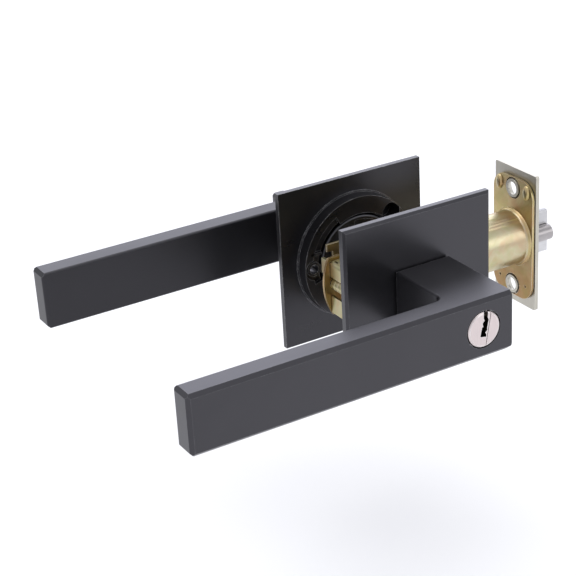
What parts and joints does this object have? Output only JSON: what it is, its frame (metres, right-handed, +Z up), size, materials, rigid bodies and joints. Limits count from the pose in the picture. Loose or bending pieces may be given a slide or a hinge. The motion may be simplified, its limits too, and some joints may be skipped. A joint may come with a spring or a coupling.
{
  "type": "lever handle lockset",
  "caption": "Keyed entry lever lockset: two square roses with straight levers, key cylinder and turn button, chassis, and a tubular deadlocking latch.",
  "frame": {"origin": "where the spindle axis and the latch axis cross, in the middle of the chassis", "axes": "+X along the latch towards its faceplate, +Y along the spindle towards the inside half with the turn button, +Z up as the set stands on a door; the levers point along -X"},
  "size_m": [0.1911, 0.1423, 0.065],
  "materials": {
    "satin_black": "satin",
    "zinc_gold": "yellow zinc plate",
    "nickel": "satin nickel plate",
    "steel": "bright zinc plate",
    "brass": "plain",
    "nylon": "natural"
  },
  "bodies": {
    "chassis": {"outside_rose": "satin_black", "outside_bearing_bush": "nylon", "outside_spring_cover": "satin_black", "outside_return_spring": "steel", "chassis_frame": "zinc_gold", "chassis_end_plate": "zinc_gold", "chassis_bracket": "zinc_gold", "mounting_post_left": "zinc_gold", "mounting_post_right": "zinc_gold", "retractor_spring_upper": "steel", "retractor_spring_lower": "steel", "latch_case": "zinc_gold", "latch_faceplate": "nickel", "latch_guide": "zinc_gold", "bolt_spring": "steel", "plunger_spring": "steel"},
    "outside_lever": {"outside_lever": "satin_black", "outside_set_screw": "steel", "outside_spindle": "steel", "outside_rollback_cam": "steel", "outside_retaining_ring": "steel", "key_cylinder_shell": "nickel", "driver_pin_1": "brass", "driver_pin_2": "brass", "driver_pin_3": "brass", "driver_pin_4": "brass", "driver_pin_5": "brass"},
    "key_plug": {"key_plug": "nickel", "plug_retaining_clip": "steel", "plug_tailpiece": "brass", "key_pin_1": "brass", "key_pin_2": "brass", "key_pin_3": "brass", "key_pin_4": "brass", "key_pin_5": "brass"},
    "inside_half": {"inside_rose": "satin_black", "inside_bearing_bush": "nylon", "inside_spring_cover": "satin_black", "inside_return_spring": "steel"},
    "inside_lever": {"inside_lever": "satin_black", "inside_set_screw": "steel", "inside_spindle": "steel", "inside_rollback_cam": "steel", "inside_retaining_ring": "steel"},
    "turn_button": {"turn_button": "satin_black", "turn_button_clip": "steel", "turn_bar": "brass"},
    "locking_catch": {"locking_catch": "brass"},
    "retractor": {"retractor": "zinc_gold"},
    "latch_bolt": {"latch_bolt": "nickel", "bolt_tail": "steel"},
    "deadlatch_plunger": {"deadlatch_plunger": "nickel"}
  },
  "joints": [
    {"name": "outside_lever_turn", "type": "hinge", "parent": "chassis", "child": "outside_lever", "pos_m": [0, 0, 0], "axis": [0, -1, 0], "range_deg": [0, 50], "stiffness_Nm_per_rad": 0.8, "springref_deg": -22.92, "deforming": ["outside_return_spring"]},
    {"name": "inside_half_slide", "type": "slide", "parent": "chassis", "child": "inside_half", "axis": [0, -1, 0], "range_m": [0, 0.0075]},
    {"name": "inside_lever_turn", "type": "hinge", "parent": "inside_half", "child": "inside_lever", "pos_m": [0, 0, 0], "axis": [0, -1, 0], "range_deg": [0, 50], "stiffness_Nm_per_rad": 0.8, "springref_deg": -22.92, "deforming": ["inside_return_spring"]},
    {"name": "key_plug_turn", "type": "hinge", "parent": "outside_lever", "child": "key_plug", "pos_m": [0, 0, 0], "axis": [0, -1, 0], "range_deg": [0, 90]},
    {"name": "turn_button_turn", "type": "hinge", "parent": "inside_lever", "child": "turn_button", "pos_m": [0, 0, 0], "axis": [0, -1, 0], "range_deg": [0, 90]},
    {"name": "catch_turn", "type": "hinge", "parent": "chassis", "child": "locking_catch", "pos_m": [0, 0, 0], "axis": [0, -1, 0], "range_deg": [0, 90]},
    {"name": "retractor_slide", "type": "slide", "parent": "chassis", "child": "retractor", "axis": [-1, 0, 0], "range_m": [0, 0.0117], "deforming": ["retractor_spring_upper", "retractor_spring_lower"]},
    {"name": "latch_slide", "type": "slide", "parent": "chassis", "child": "latch_bolt", "axis": [-1, 0, 0], "range_m": [0, 0.0117], "deforming": ["bolt_spring", "plunger_spring"]},
    {"name": "plunger_slide", "type": "slide", "parent": "latch_bolt", "child": "deadlatch_plunger", "axis": [-1, 0, 0], "range_m": [0, 0.0105], "stiffness_N_per_m": 150, "springref_m": -0.01, "deforming": ["plunger_spring"]}
  ],
  "couplings": [
    {"joint": "catch_turn", "follows": "turn_button_turn", "ratio": 1},
    {"joint": "retractor_slide", "follows": "outside_lever_turn", "m_per_rad": 0.013292},
    {"joint": "latch_slide", "follows": "outside_lever_turn", "m_per_rad": 0.013292}
  ]
}
